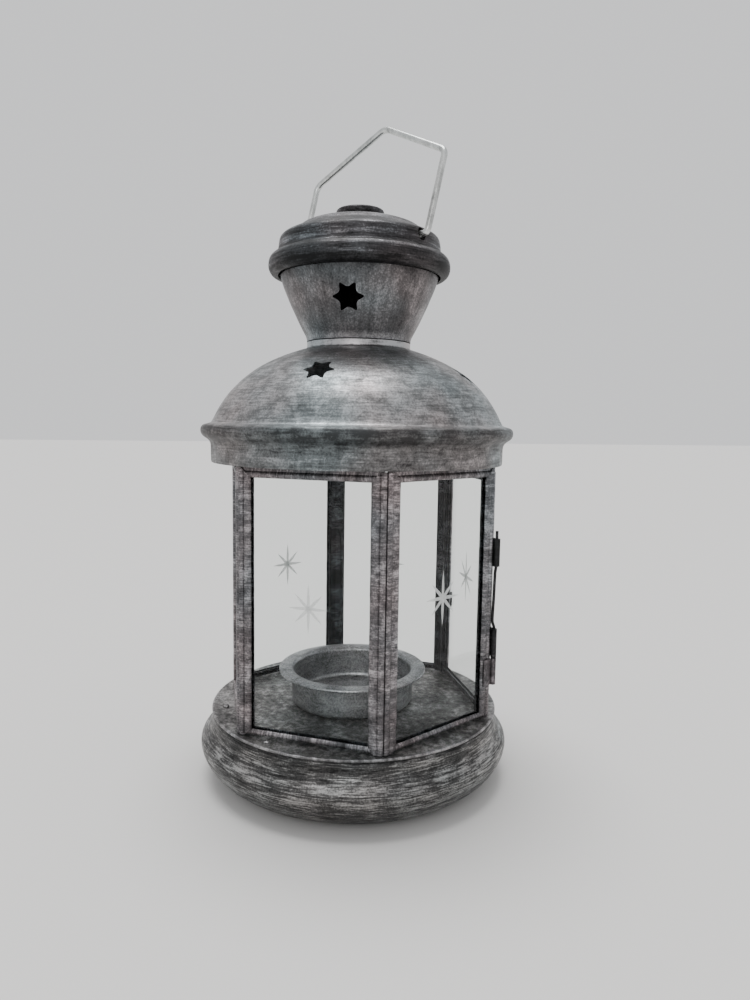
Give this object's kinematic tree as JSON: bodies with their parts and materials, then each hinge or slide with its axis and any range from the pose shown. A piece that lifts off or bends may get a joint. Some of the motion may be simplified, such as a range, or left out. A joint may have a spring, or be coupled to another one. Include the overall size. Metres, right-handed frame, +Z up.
{
  "type": "candle lantern",
  "caption": "Six-sided glazed candle lantern in aged galvanised sheet, with a hinged glass door, domed roof, vented funnel, cap, fixed candle cup and wire bail.",
  "frame": {"origin": "centre of the foot, on the surface that the lantern stands on", "axes": "+Z up, door facing -Y, the door's hinge towards -X"},
  "size_m": [0.117, 0.117, 0.2435],
  "materials": {
    "galvanised": "dark antiqued zinc with light streaks",
    "roof_metal": "paler greenish grey zinc, softly blotched",
    "cap_metal": "dark banded zinc",
    "cup_metal": "plain satin grey",
    "hinge_metal": "blackened strip",
    "bright_wire": "bright zinc wire",
    "glass": "clear, one wheel-cut star in the middle of each pane"
  },
  "bodies": {
    "lantern_body": {"base_shell": "galvanised", "floor_plate": "galvanised", "frame_ring": "galvanised", "vent_funnel": "galvanised", "frame1_stile_left": "galvanised", "frame1_stile_right": "galvanised", "frame1_rail_bottom": "galvanised", "frame1_rail_top": "galvanised", "frame2_stile_left": "galvanised", "frame2_stile_right": "galvanised", "frame2_rail_bottom": "galvanised", "frame2_rail_top": "galvanised", "frame3_stile_left": "galvanised", "frame3_stile_right": "galvanised", "frame3_rail_bottom": "galvanised", "frame3_rail_top": "galvanised", "frame4_stile_left": "galvanised", "frame4_stile_right": "galvanised", "frame4_rail_bottom": "galvanised", "frame4_rail_top": "galvanised", "frame5_stile_left": "galvanised", "frame5_stile_right": "galvanised", "frame5_rail_bottom": "galvanised", "frame5_rail_top": "galvanised", "roof_dome": "roof_metal", "cap": "cap_metal", "cap_boss": "cap_metal", "candle_cup": "cup_metal", "hinge_bracket": "hinge_metal", "hinge_pin": "hinge_metal", "latch_tongue": "hinge_metal", "frame1_glass": "glass", "frame2_glass": "glass", "frame3_glass": "glass", "frame4_glass": "glass", "frame5_glass": "glass"},
    "door": {"door_stile_left": "galvanised", "door_stile_right": "galvanised", "door_rail_bottom": "galvanised", "door_rail_top": "galvanised", "door_glass": "glass", "door_loop_upper": "hinge_metal", "door_loop_lower": "hinge_metal", "pull_tab": "hinge_metal"},
    "bail": {"bail_handle": "bright_wire"}
  },
  "joints": [
    {"name": "door_hinge", "type": "hinge", "parent": "lantern_body", "child": "door", "pos_m": [-0.0269, -0.04659, 0.066], "axis": [0, 0, -1], "range_deg": [0, 115]},
    {"name": "bail_swing", "type": "hinge", "parent": "lantern_body", "child": "bail", "pos_m": [0, 0, 0.198], "axis": [0.8181, 0.575, 0], "range_deg": [-114, 82]}
  ]
}
